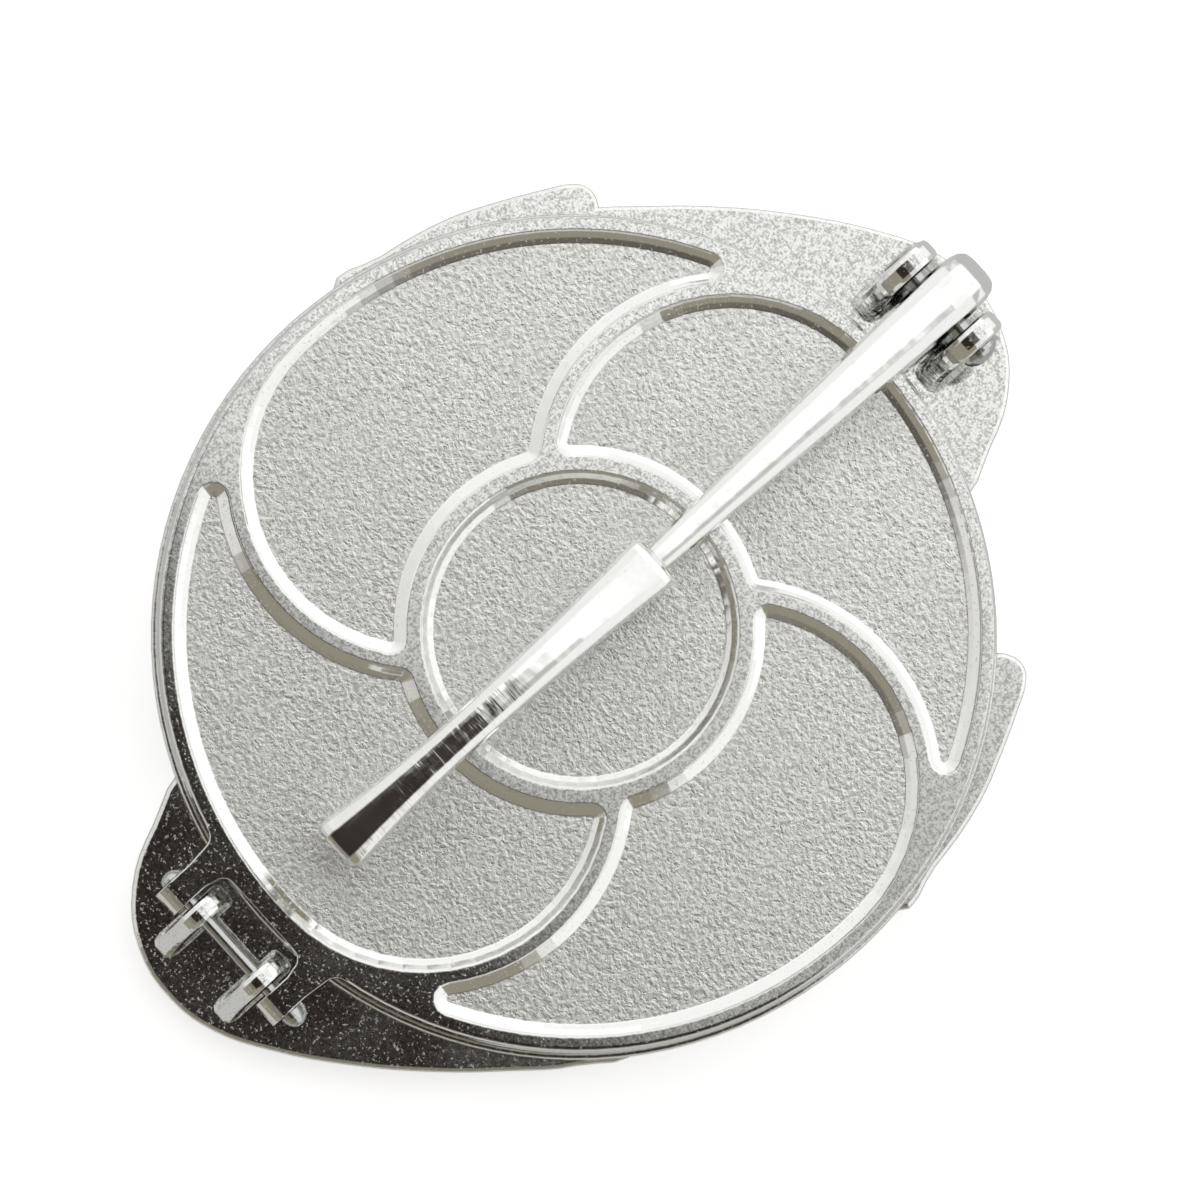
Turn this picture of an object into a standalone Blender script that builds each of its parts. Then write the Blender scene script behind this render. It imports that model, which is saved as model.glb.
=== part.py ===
"""Tortilla press in cast aluminium: a base, a hinged top plate and a folding lever.

+Z is up and the rim of the base stands on Z = 0. The plate hinge is at +Y and the lever
pivot at -Y. The origin lies under the middle of the platens. Lengths are in metres.
"""
import math

import bmesh
import bpy
from mathutils import Vector

# Clearances shared by every piece
SEAT_GAP = 0.0003
BORE_CLEARANCE = 0.00006
OVERRUN = 0.0020

# Half of the 8 inch nominal plate. The reaches below are given from its edge.
PLATE_TOP_RADIUS = 0.1000

# Base casting
BASE_OVERHANG = 0.0025
BASE_HEIGHT = 0.0145
BASE_WALL = 0.0042
BASE_ROOF = 0.0052
BASE_EDGE_ROUND = 0.0010
BASE_FOOT_WIDTH = 0.0032
HOLLOW_CORNER_RADIUS = 0.0030
EAR_LENGTH = 0.0308
TAB_LENGTH = 0.0093
EAR_DROP = 0.0012
EAR_EDGE_ROUND = 0.0012
EAR_FOOT_GAP = 0.0008
EAR_WEB = 0.0025
BOSS_RADIUS = 0.0130
BOSS_FOOT_RADIUS = 0.0120
RIB_THICKNESS = 0.0038
RIB_FOOT_GAP = 0.0020
RIB_COUNT = 6

# Clevis that carries the lever
PIVOT_OFFSET = 0.0166
PIVOT_RISE = 0.0022
CLEVIS_GAP = 0.0174
CLEVIS_THICKNESS = 0.0057
CLEVIS_TOP_RADIUS = 0.0085
CLEVIS_FRONT_REACH = 0.0098
CLEVIS_REAR_REACH = 0.0116
CLEVIS_FLARE = 0.0014
CLEVIS_EDGE_ROUND = 0.0015

# Hinge lugs on the base and hinge arms on the top plate
HINGE_OFFSET = 0.0115
HINGE_RISE = 0.0057
LUG_SPACING = 0.0210
LUG_THICKNESS = 0.0050
LUG_TOP_RADIUS = 0.0062
LUG_FRONT_REACH = 0.0066
LUG_REAR_REACH = 0.0136
LUG_FLARE = 0.0010
LUG_EDGE_ROUND = 0.0014
ARM_THICKNESS = 0.0064
ARM_ROOT_GROWTH = 0.0006
ARM_EDGE_ROUND = 0.0008
ARM_LUG_GAP = 0.0013
ARM_END_RADIUS = 0.0053
NOTCH_OFFSET = 0.0010
NOTCH_CORNER_RADIUS = 0.0030
SHOULDER_RADIUS = 0.0034

# Top plate casting
PLATE_THICKNESS = 0.0110
PLATE_DRAFT = 0.0014
PLATE_EDGE_ROUND = 0.0012
RIM_WIDTH = 0.0034
RING_INNER_RADIUS = 0.0382
RING_OUTER_RADIUS = 0.0414
SWIRL_CENTRE_RADIUS = 0.0524
SWIRL_RIDGE_WIDTH = 0.0026
SWIRL_TURN = math.radians(-87.4)
SWIRL_COUNT = 4
POCKET_DEPTH = 0.0021
POCKET_LIP = 0.0005
POCKET_WALL_RUN = 0.0012
POCKET_FILLET_RUN = 0.0014
POCKET_TIP_RADIUS = 0.0040
POCKET_CORNER_RADIUS = 0.0038

# Lever casting
LEVER_LENGTH = 0.1945
LEVER_HEAD_RADIUS = 0.0114
LEVER_HEAD_WIDTH = 0.0144
LEVER_NOSE = 0.0139
LEVER_PAD_END = 0.0240
LEVER_NECK = 0.0934
LEVER_NECK_WIDTH = 0.0068
LEVER_NECK_RISE = 0.0050
LEVER_NECK_DEPTH = 0.0105
GRIP_WIDTH = 0.0142
GRIP_WAIST_WIDTH = 0.0093
GRIP_END_WIDTH = 0.0140
GRIP_DEPTH = 0.0136
GRIP_WAIST_DEPTH = 0.0126
GRIP_CREST_RISE = 0.0072
GRIP_END_DROP = 0.0030
GRIP_SHOULDER = 0.0026

# Rivets
PIVOT_PIN_RADIUS = 0.0030
PIVOT_HEAD_RADIUS = 0.0048
PIVOT_HEAD_HEIGHT = 0.0031
PIVOT_TAIL_RADIUS = 0.0040
PIVOT_TAIL_HEIGHT = 0.0008
HINGE_PIN_RADIUS = 0.0019
HINGE_HEAD_RADIUS = 0.0029
HINGE_HEAD_HEIGHT = 0.0040
HINGE_TAIL_RADIUS = 0.0027
HINGE_TAIL_HEIGHT = 0.0021

# Faces on the round stretches
DISC_STEPS = 108
PIN_STEPS = 24
OUTLINE_STEPS = 4
POCKET_STEP = 0.0048
FLAT_ANGLE = math.radians(0.3)
SHARP_ANGLE = math.radians(35)

# Outline of an ear, from its shallow flank over the tip to its steep flank, as shares of its reach
EAR_SHARES = (
    (-0.632, 0.430),
    (-0.588, 0.534),
    (-0.508, 0.636),
    (-0.418, 0.736),
    (-0.313, 0.834),
    (-0.189, 0.928),
    (-0.095, 0.980),
    (0.000, 1.000),
    (0.111, 0.981),
    (0.202, 0.916),
    (0.262, 0.812),
    (0.292, 0.690),
)

# Outline of a side tab, from its step back along its sweeping edge, as shares of its reach
TAB_SHARES = (
    (0.655, -0.655),
    (0.692, -0.690),
    (0.730, -0.691),
    (0.758, -0.667),
    (0.786, -0.618),
    (0.837, -0.516),
    (0.881, -0.411),
    (0.918, -0.240),
    (0.930, -0.110),
    (0.700, -0.200),
)

# Half of the lever's section from bottom to top, as shares of its half width and its depth
SECTION_SHARES = (
    (0.60, 0.00),
    (0.90, 0.10),
    (1.00, 0.30),
    (0.98, 0.74),
    (0.87, 0.89),
    (0.52, 0.985),
    (0.28, 1.00),
)

# Where along the lever's nose and heel its head has a section, as shares of their reach
NOSE_SHARES = (0.985, 0.93, 0.82, 0.64, 0.36)
HEEL_SHARES = (0.00, 0.35, 0.65, 0.87, 0.97, 1.00)

# Where along the grip its waist and its crest lie, and how a squared end draws in over its shoulder
GRIP_WAIST_SHARE = 0.63
GRIP_CREST_SHARE = 0.42
SHOULDER_SHARES = ((0.00, 0.80), (0.16, 0.90), (0.45, 0.975), (1.00, 1.00))

PLATE_BOTTOM_RADIUS = PLATE_TOP_RADIUS + PLATE_DRAFT
BASE_RADIUS = PLATE_TOP_RADIUS + BASE_OVERHANG
EAR_REACH = PLATE_TOP_RADIUS + EAR_LENGTH
TAB_REACH = PLATE_TOP_RADIUS + TAB_LENGTH
PIVOT_REACH = PLATE_TOP_RADIUS + PIVOT_OFFSET
HINGE_REACH = PLATE_TOP_RADIUS + HINGE_OFFSET
NOTCH_REACH = PLATE_TOP_RADIUS + NOTCH_OFFSET
RIM_INNER_RADIUS = PLATE_TOP_RADIUS - RIM_WIDTH
SWIRL_RADIUS = RIM_INNER_RADIUS - SWIRL_CENTRE_RADIUS
EAR_TOP = BASE_HEIGHT - EAR_DROP
PLATE_BOTTOM = BASE_HEIGHT + SEAT_GAP
PLATE_TOP = PLATE_BOTTOM + PLATE_THICKNESS
LEVER_BOTTOM = PLATE_TOP + SEAT_GAP
PIVOT_HEIGHT = PLATE_TOP + PIVOT_RISE
HINGE_HEIGHT = PLATE_BOTTOM + HINGE_RISE
LUG_OUTER = (LUG_SPACING + LUG_THICKNESS) / 2
ARM_INNER = LUG_OUTER + ARM_LUG_GAP
ARM_OUTER = ARM_INNER + ARM_THICKNESS
CLEVIS_CENTRE = (CLEVIS_GAP + CLEVIS_THICKNESS) / 2
CLEVIS_OUTER = CLEVIS_GAP / 2 + CLEVIS_THICKNESS


def clear_scene():
    """Empty the scene."""
    for thing in list(bpy.data.objects):
        bpy.data.objects.remove(thing)


def new_collection(name):
    """A collection linked to the scene."""
    collection = bpy.data.collections.new(name)
    bpy.context.scene.collection.children.link(collection)
    return collection


def new_material(name, colour, roughness, metallic):
    """A Principled material with one colour."""
    material = bpy.data.materials.new(name)
    material.use_nodes = True
    shader = material.node_tree.nodes["Principled BSDF"]
    shader.inputs["Base Color"].default_value = (*colour, 1.0)
    shader.inputs["Roughness"].default_value = roughness
    shader.inputs["Metallic"].default_value = metallic
    return material


def add_object(name, mesh, collection):
    """Put a mesh in a collection as an object."""
    thing = bpy.data.objects.new(name, mesh)
    collection.objects.link(thing)
    return thing


def mesh_from(name, bm):
    """Turn a bmesh into a mesh with its faces pointing out."""
    bmesh.ops.recalc_face_normals(bm, faces=bm.faces[:])
    mesh = bpy.data.meshes.new(name)
    bm.to_mesh(mesh)
    bm.free()
    return mesh


def hide_tool(thing):
    """Mark an object as one that only cuts or joins."""
    thing.hide_render = True
    thing.display_type = 'WIRE'


def combine(thing, tool, operation):
    """Join a tool to an object, or cut it out."""
    hide_tool(tool)
    modifier = thing.modifiers.new(operation.title() + " " + tool.name, 'BOOLEAN')
    modifier.operation = operation
    modifier.object = tool
    modifier.solver = 'EXACT'


def round_edges(thing, width, segments, limit):
    """Bevel the edges that are sharper than an angle."""
    modifier = thing.modifiers.new("Rounded edges", 'BEVEL')
    modifier.width = width
    modifier.segments = segments
    modifier.limit_method = 'ANGLE'
    modifier.angle_limit = limit


def merge_flat_faces(thing):
    """Make each flat stretch of a surface one face."""
    modifier = thing.modifiers.new("Flat faces merged", 'DECIMATE')
    modifier.decimate_type = 'DISSOLVE'
    modifier.angle_limit = FLAT_ANGLE


def mix(start, end, share):
    """A value part of the way from one to another."""
    return start + (end - start) * share


def arc(centre, radius, start, end, steps):
    """Points on a circle from one angle to another, both ends included."""
    points = []
    for step in range(steps + 1):
        angle = start + (end - start) * step / steps
        points.append((centre[0] + radius * math.cos(angle), centre[1] + radius * math.sin(angle)))
    return points


def loft(name, rings, collection):
    """A closed solid through rings of points that all have the same count."""
    bm = bmesh.new()
    rows = []
    for ring in rings:
        rows.append([bm.verts.new(point) for point in ring])
    count = len(rings[0])
    for lower, upper in zip(rows, rows[1:]):
        for index in range(count):
            following = (index + 1) % count
            bm.faces.new((lower[index], lower[following], upper[following], upper[index]))
    bm.faces.new(rows[0])
    bm.faces.new(rows[-1])
    bmesh.ops.remove_doubles(bm, verts=bm.verts[:], dist=SEAT_GAP / 100)
    return add_object(name, mesh_from(name, bm), collection)


def flat_face(points, smooth):
    """One flat face inside an outline, as a bmesh. A smooth outline is a curve through its points."""
    curve = bpy.data.curves.new("Outline", 'CURVE')
    curve.dimensions = '2D'
    curve.fill_mode = 'BOTH'
    curve.resolution_u = OUTLINE_STEPS
    if smooth:
        spline = curve.splines.new('BEZIER')
        spline.bezier_points.add(len(points) - 1)
        for knot, point in zip(spline.bezier_points, points):
            knot.co = (*point, 0)
            knot.handle_left_type = 'AUTO'
            knot.handle_right_type = 'AUTO'
        spline.bezier_points[0].handle_left_type = 'VECTOR'
        spline.bezier_points[-1].handle_right_type = 'VECTOR'
    else:
        spline = curve.splines.new('POLY')
        spline.points.add(len(points) - 1)
        for knot, point in zip(spline.points, points):
            knot.co = (*point, 0, 1)
    spline.use_cyclic_u = True
    drawn = add_object("Outline", curve, bpy.context.scene.collection)
    evaluated = drawn.evaluated_get(bpy.context.evaluated_depsgraph_get())
    mesh = bpy.data.meshes.new_from_object(evaluated)
    bm = bmesh.new()
    bm.from_mesh(mesh)
    bmesh.ops.remove_doubles(bm, verts=bm.verts[:], dist=SEAT_GAP / 10)
    bmesh.ops.dissolve_faces(bm, faces=bm.faces[:])
    bpy.data.objects.remove(drawn)
    bpy.data.curves.remove(curve)
    bpy.data.meshes.remove(mesh)
    return bm


def slab(name, points, bottom, top, collection, smooth=False):
    """A flat outline with a thickness."""
    bm = flat_face(points, smooth)
    bmesh.ops.translate(bm, verts=bm.verts[:], vec=(0, 0, bottom))
    grown = bmesh.ops.extrude_face_region(bm, geom=bm.faces[:])
    raised = [item for item in grown["geom"] if isinstance(item, bmesh.types.BMVert)]
    bmesh.ops.translate(bm, verts=raised, vec=(0, 0, top - bottom))
    return add_object(name, mesh_from(name, bm), collection)


def turned(name, profile, steps, collection, closed=False):
    """A round solid from a profile of radius and height that runs down its outer side."""
    bm = bmesh.new()
    verts = [bm.verts.new((radius, 0, height)) for radius, height in profile]
    for above, below in zip(verts, verts[1:]):
        bm.edges.new((above, below))
    if closed:
        bm.edges.new((verts[-1], verts[0]))
    mesh = bpy.data.meshes.new(name)
    bm.to_mesh(mesh)
    bm.free()
    thing = add_object(name, mesh, collection)
    screw = thing.modifiers.new("Turned", 'SCREW')
    screw.axis = 'Z'
    screw.steps = steps
    screw.render_steps = steps
    screw.use_merge_vertices = True
    screw.merge_threshold = SEAT_GAP / 30
    screw.use_normal_calculate = False
    merge_flat_faces(thing)
    return thing


def cylinder(name, radius, start, end, axis, steps, collection):
    """A closed cylinder between two points on an axis."""
    bm = bmesh.new()
    length = (Vector(end) - Vector(start)).length
    bmesh.ops.create_cone(bm, cap_ends=True, segments=steps, radius1=radius, radius2=radius, depth=length)
    thing = add_object(name, mesh_from(name, bm), collection)
    thing.rotation_euler = (0, math.radians(90), 0) if axis == 'X' else (0, 0, 0)
    thing.location = (Vector(start) + Vector(end)) / 2
    return thing


def cross_bore(name, radius, reach, height, half_length, collection):
    """A cutter along X for a pin."""
    start = (-half_length, reach, height)
    end = (half_length, reach, height)
    return cylinder(name, radius + BORE_CLEARANCE, start, end, 'X', PIN_STEPS, collection)


def shade(thing, material):
    """Give an object its material and smooth round faces."""
    thing.data.materials.append(material)
    thing.data.shade_smooth()
    thing.data.set_sharp_from_angle(angle=SHARP_ANGLE)


def rounded_disc(outer, top, bottom, edge_round):
    """Outer profile of a disc with a rounded top edge, from the middle of its top down."""
    profile = [(0, top)]
    corner = (outer - edge_round, top - edge_round)
    for radius, height in arc(corner, edge_round, math.radians(90), 0, 3):
        profile.append((radius, height))
    profile.append((outer, bottom))
    return profile


def base_disc(parts):
    """Round body of the base, before anything is cut out of it."""
    profile = rounded_disc(BASE_RADIUS, BASE_HEIGHT, 0, BASE_EDGE_ROUND)
    profile.append((0, 0))
    return turned("base_plate", profile, DISC_STEPS, parts)


def ear_points(side):
    """Outline of an ear. Side is 1 at the rear and -1 at the front, where it is turned half round."""
    reach = side * EAR_REACH
    return [(across * reach, along * reach) for across, along in EAR_SHARES]


def drawn_in(points, wall):
    """Points of an open outline moved to its right by a wall, square to the line past each point."""
    moved = []
    for index, (x, y) in enumerate(points):
        before = points[max(index - 1, 0)]
        after = points[min(index + 1, len(points) - 1)]
        share = wall / math.dist(before, after)
        moved.append((x + share * (after[1] - before[1]), y - share * (after[0] - before[0])))
    return moved


def trim_inside(thing, name, tools):
    """Cut away what lies inside the disc's wall, so that the hollow under the disc stays open."""
    below = (0, 0, -OVERRUN)
    above = (0, 0, EAR_TOP + OVERRUN)
    inside = cylinder(name + " trim", BASE_RADIUS - BASE_WALL / 2, below, above, 'Z', DISC_STEPS, tools)
    combine(thing, inside, 'DIFFERENCE')


def ear_hollow(name, points, tools):
    """Cutter for the hollow under an ear, which leaves a wall round it and a web at the disc."""
    below = -HOLLOW_CORNER_RADIUS - OVERRUN
    inner = drawn_in(points, BASE_WALL)
    hollow = slab(name + " hollow", inner, below, EAR_TOP - BASE_ROOF, tools, smooth=True)
    round_edges(hollow, HOLLOW_CORNER_RADIUS / 2, 2, math.radians(50))
    start = (0, 0, below - OVERRUN)
    web = cylinder(name + " web", BASE_RADIUS + EAR_WEB, start, (0, 0, EAR_TOP), 'Z', DISC_STEPS, tools)
    combine(hollow, web, 'DIFFERENCE')
    return hollow


def make_ear(name, side, lugs, bore, tools):
    """An ear of the base: a hollow slab with two lugs on it and a bore through them."""
    points = ear_points(side)
    ear = slab(name, points, EAR_FOOT_GAP, EAR_TOP, tools, smooth=True)
    round_edges(ear, EAR_EDGE_ROUND, 2, math.radians(50))
    trim_inside(ear, name, tools)
    combine(ear, ear_hollow(name, points, tools), 'DIFFERENCE')
    for standing in lugs:
        combine(ear, standing, 'UNION')
    combine(ear, bore, 'DIFFERENCE')
    return ear


def make_tab(side, tools):
    """A side tab of the base, the same on both sides."""
    points = [(side * across * TAB_REACH, along * TAB_REACH) for across, along in TAB_SHARES]
    tab = slab("Tab", points, EAR_FOOT_GAP, EAR_TOP, tools, smooth=True)
    round_edges(tab, EAR_EDGE_ROUND, 2, math.radians(50))
    trim_inside(tab, "Tab", tools)
    return tab


def lug_flank(reach, drop, radius, share):
    """A point on one flank of a lug, seen from its pin.

    Up to a share of 1 it climbs straight from the foot until it meets the crown, and from there
    to a share of 2 it goes over the crown to its top.
    """
    meeting = math.acos(radius / math.hypot(reach, drop)) - math.atan2(drop, reach)
    if share < 1:
        return mix(reach, radius * math.cos(meeting), share), mix(-drop, radius * math.sin(meeting), share)
    turn = mix(meeting, math.radians(90), share - 1)
    return radius * math.cos(turn), radius * math.sin(turn)


def lug(name, place, sizes, tools):
    """A rounded lug that stands on an ear, with a flared foot and softened edges."""
    thickness, top_radius, back, front, flare, soft, height = sizes
    drop = height - EAR_TOP + OVERRUN / 2
    soft_steps = 2
    across = []
    for step in range(soft_steps + 1):
        turn = math.radians(90) * step / soft_steps
        across.append((thickness / 2 - soft + soft * math.cos(turn), soft - soft * math.sin(turn)))
    across = across + [(-x, inset) for x, inset in reversed(across)]
    flank_steps = 6
    rings = []
    for step in range(2 * flank_steps + 1):
        share = step / flank_steps
        spread = flare * max(0, 1 - share) ** 4
        widening = 1 + 2 * spread / thickness
        ring = []
        for x, inset in across:
            ahead, level = lug_flank(back - 2 * inset, drop, top_radius - inset, share)
            ring.append((x * widening, ahead + spread, height + level))
        for x, inset in reversed(across):
            behind, level = lug_flank(front - inset, drop, top_radius - inset, share)
            ring.append((x * widening, -behind - spread, height + level))
        rings.append(ring)
    thing = loft(name, rings, tools)
    thing.location = (place[0], place[1], 0)
    return thing


def cut_underside(base, tools):
    """Six hollows under the platen, which leave ribs and a boss, and the ribs cut back from the table."""
    inner = BASE_RADIUS - BASE_WALL
    half = RIB_THICKNESS / 2
    sector = math.radians(360) / RIB_COUNT
    roof = BASE_HEIGHT - BASE_ROOF
    for index in range(RIB_COUNT):
        start = math.asin(half / inner)
        far = arc((0, 0), inner, start, sector - start, DISC_STEPS // RIB_COUNT)
        start = math.asin(half / BOSS_RADIUS)
        near = arc((0, 0), BOSS_RADIUS, sector - start, start, 3)
        hollow = slab("Hollow", far + near, -HOLLOW_CORNER_RADIUS - OVERRUN, roof, tools)
        hollow.rotation_euler = (0, 0, sector * (index + 0.5))
        round_edges(hollow, HOLLOW_CORNER_RADIUS, 2, math.radians(50))
        combine(base, hollow, 'DIFFERENCE')
    outer = BASE_RADIUS - BASE_FOOT_WIDTH
    ring = [(outer, RIB_FOOT_GAP), (outer, -OVERRUN)]
    ring += [(BOSS_FOOT_RADIUS, -OVERRUN), (BOSS_FOOT_RADIUS, RIB_FOOT_GAP)]
    combine(base, turned("Rib relief", ring, DISC_STEPS, tools, closed=True), 'DIFFERENCE')


def lug_pair(name, offset, reach, sizes, tools):
    """Two lugs, one each side of the middle."""
    return [lug(name, (side * offset, reach), sizes, tools) for side in (-1, 1)]


def make_base(parts, tools, material):
    """The base casting: hollow disc, ears with clevis and hinge lugs, and side tabs."""
    base = base_disc(parts)
    cut_underside(base, tools)
    clevis_sizes = (CLEVIS_THICKNESS, CLEVIS_TOP_RADIUS, CLEVIS_REAR_REACH, CLEVIS_FRONT_REACH,
                    CLEVIS_FLARE, CLEVIS_EDGE_ROUND, PIVOT_HEIGHT)
    clevis = lug_pair("Clevis ear", CLEVIS_CENTRE, -PIVOT_REACH, clevis_sizes, tools)
    half = CLEVIS_OUTER + OVERRUN
    pivot_bore = cross_bore("Pivot bore", PIVOT_PIN_RADIUS, -PIVOT_REACH, PIVOT_HEIGHT, half, tools)
    lug_sizes = (LUG_THICKNESS, LUG_TOP_RADIUS, LUG_REAR_REACH, LUG_FRONT_REACH,
                 LUG_FLARE, LUG_EDGE_ROUND, HINGE_HEIGHT)
    hinge_lugs = lug_pair("Hinge lug", LUG_SPACING / 2, HINGE_REACH, lug_sizes, tools)
    half = LUG_OUTER + OVERRUN
    lug_bore = cross_bore("Lug bore", HINGE_PIN_RADIUS, HINGE_REACH, HINGE_HEIGHT, half, tools)
    combine(base, make_ear("Front ear", -1, clevis, pivot_bore, tools), 'UNION')
    combine(base, make_ear("Rear ear", 1, hinge_lugs, lug_bore, tools), 'UNION')
    for side in (-1, 1):
        combine(base, make_tab(side, tools), 'UNION')
    shade(base, material)
    return base


def circles_meet(first, first_radius, second, second_radius, side):
    """One of the two points where two circles cross."""
    gap = math.hypot(second[0] - first[0], second[1] - first[1])
    along = (first_radius ** 2 - second_radius ** 2 + gap ** 2) / (2 * gap)
    off = side * math.sqrt(first_radius ** 2 - along ** 2)
    unit = ((second[0] - first[0]) / gap, (second[1] - first[1]) / gap)
    return (first[0] + unit[0] * along - unit[1] * off, first[1] + unit[1] * along + unit[0] * off)


def heading(centre, point):
    """Angle of a point seen from a centre."""
    return math.atan2(point[1] - centre[1], point[0] - centre[0])


def pocket_outline(turn, inset, step_counts):
    """Outline of a swirl pocket, drawn in by an inset.

    It follows its own swirl circle out to the rim, the rim clockwise to a tip, the far side of
    the next swirl ridge back in, and the centre ring home. Small arcs round the three corners.
    """
    middle = (0, 0)
    own = (SWIRL_CENTRE_RADIUS * math.cos(turn), SWIRL_CENTRE_RADIUS * math.sin(turn))
    next_turn = turn - math.radians(360) / SWIRL_COUNT
    following = (SWIRL_CENTRE_RADIUS * math.cos(next_turn), SWIRL_CENTRE_RADIUS * math.sin(next_turn))
    own_radius = SWIRL_RADIUS - inset
    rim_radius = RIM_INNER_RADIUS - inset
    back_radius = SWIRL_RADIUS + SWIRL_RIDGE_WIDTH + inset
    ring_radius = RING_OUTER_RADIUS + inset
    corner = POCKET_CORNER_RADIUS - inset
    tip = POCKET_TIP_RADIUS - inset
    start_centre = circles_meet(middle, ring_radius + corner, own, own_radius - corner, 1)
    tip_centre = circles_meet(middle, rim_radius - tip, following, back_radius + tip, 1)
    end_centre = circles_meet(middle, ring_radius + corner, following, back_radius + corner, 1)
    leave = heading(own, start_centre)
    strokes = (
        (own, own_radius, leave, turn, True),
        (middle, rim_radius, turn, heading(middle, tip_centre), True),
        (tip_centre, tip, heading(middle, tip_centre), heading(tip_centre, following), True),
        (following, back_radius, heading(following, tip_centre), heading(following, end_centre), False),
        (end_centre, corner, heading(end_centre, following), heading(end_centre, middle), True),
        (middle, ring_radius, heading(middle, end_centre), heading(middle, start_centre), False),
        (start_centre, corner, heading(start_centre, middle), leave, True),
    )
    outline = []
    full = math.radians(360)
    for (centre, radius, start, end, clockwise), count in zip(strokes, step_counts):
        change = -((start - end) % full) if clockwise else (end - start) % full
        outline += arc(centre, radius, start, start + change, count)[:-1]
    return outline


def pocket_levels():
    """How far a pocket has drawn in at each height, from above the plate down to its floor."""
    lip = POCKET_LIP
    wall = lip + POCKET_WALL_RUN
    floor = wall + POCKET_FILLET_RUN
    return (
        (0, PLATE_TOP + OVERRUN),
        (0, PLATE_TOP),
        (lip, PLATE_TOP - lip),
        (wall, PLATE_TOP - POCKET_DEPTH + POCKET_FILLET_RUN / 2),
        (floor, PLATE_TOP - POCKET_DEPTH),
    )


def swirl_pocket(index, tools):
    """Cutter for one of the four swirl pockets."""
    turn = SWIRL_TURN + math.radians(360) * index / SWIRL_COUNT
    step_counts = (
        round(SWIRL_RADIUS * math.radians(100) / POCKET_STEP),
        round(RIM_INNER_RADIUS * math.radians(66) / POCKET_STEP),
        5,
        round(SWIRL_RADIUS * math.radians(90) / POCKET_STEP),
        4,
        round(RING_OUTER_RADIUS * math.radians(80) / POCKET_STEP),
        5,
    )
    rings = []
    for inset, height in pocket_levels():
        outline = pocket_outline(turn, inset, step_counts)
        rings.append([(x, y, height) for x, y in outline])
    return loft("Swirl pocket", rings, tools)


def centre_pocket(tools):
    """Cutter for the round pocket in the middle."""
    steps = round(math.radians(360) * RING_INNER_RADIUS / POCKET_STEP)
    rings = []
    for inset, height in pocket_levels():
        circle = arc((0, 0), RING_INNER_RADIUS - inset, 0, math.radians(360), steps)[:-1]
        rings.append([(x, y, height) for x, y in circle])
    return loft("Centre pocket", rings, tools)


def plate_disc(parts):
    """Round body of the top plate with its drafted, rounded wall."""
    profile = rounded_disc(PLATE_TOP_RADIUS, PLATE_TOP, PLATE_TOP - 2 * PLATE_EDGE_ROUND, PLATE_EDGE_ROUND)
    profile[-1] = (PLATE_TOP_RADIUS + PLATE_EDGE_ROUND / 3, PLATE_TOP - 2 * PLATE_EDGE_ROUND)
    profile.append((PLATE_BOTTOM_RADIUS, PLATE_BOTTOM + PLATE_EDGE_ROUND))
    profile.append((PLATE_BOTTOM_RADIUS - PLATE_EDGE_ROUND / 2, PLATE_BOTTOM))
    profile.append((0, PLATE_BOTTOM))
    return turned("top_plate", profile, DISC_STEPS, parts)


def hinge_yoke(tools):
    """Web and two arms that reach back from the top plate to the hinge pin."""
    root_outer = ARM_OUTER + ARM_ROOT_GROWTH
    root_inner = ARM_INNER - ARM_ROOT_GROWTH
    end = HINGE_REACH + ARM_END_RADIUS
    shoulder = math.sqrt(PLATE_TOP_RADIUS ** 2 - (root_outer + SHOULDER_RADIUS) ** 2)
    deep = NOTCH_REACH / 2
    half = [(root_outer + SHOULDER_RADIUS, deep), (root_outer + SHOULDER_RADIUS, shoulder)]
    blend_centre = (root_outer + SHOULDER_RADIUS, shoulder + SHOULDER_RADIUS)
    half += arc(blend_centre, SHOULDER_RADIUS, math.radians(265), math.radians(180), 5)
    straight = HINGE_REACH - ARM_END_RADIUS
    half += [(ARM_OUTER, straight), (ARM_OUTER, end), (ARM_INNER, end), (ARM_INNER, straight)]
    notch_centre = (root_inner - NOTCH_CORNER_RADIUS, NOTCH_REACH + NOTCH_CORNER_RADIUS)
    half += arc(notch_centre, NOTCH_CORNER_RADIUS, 0, math.radians(-90), 5)
    other = [(-x, y) for x, y in reversed(half)]
    yoke = slab("Hinge yoke", half + other, PLATE_BOTTOM, PLATE_TOP, tools)
    round_edges(yoke, ARM_EDGE_ROUND, 2, math.radians(50))
    return yoke


def arm_end_trim(tools):
    """Cutter that leaves the arms' ends round about the hinge pin."""
    top = HINGE_HEIGHT + ARM_END_RADIUS + OVERRUN
    bottom = HINGE_HEIGHT - ARM_END_RADIUS - OVERRUN
    far = HINGE_REACH + ARM_END_RADIUS + OVERRUN
    side = [(HINGE_REACH, top)]
    side += arc((HINGE_REACH, HINGE_HEIGHT), ARM_END_RADIUS, math.radians(90), math.radians(-90), 12)
    side += [(HINGE_REACH, bottom), (far, bottom), (far, top)]
    half = ARM_OUTER + OVERRUN
    rings = [[(x, y, z) for y, z in side] for x in (-half, half)]
    return loft("Arm end trim", rings, tools)


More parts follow.
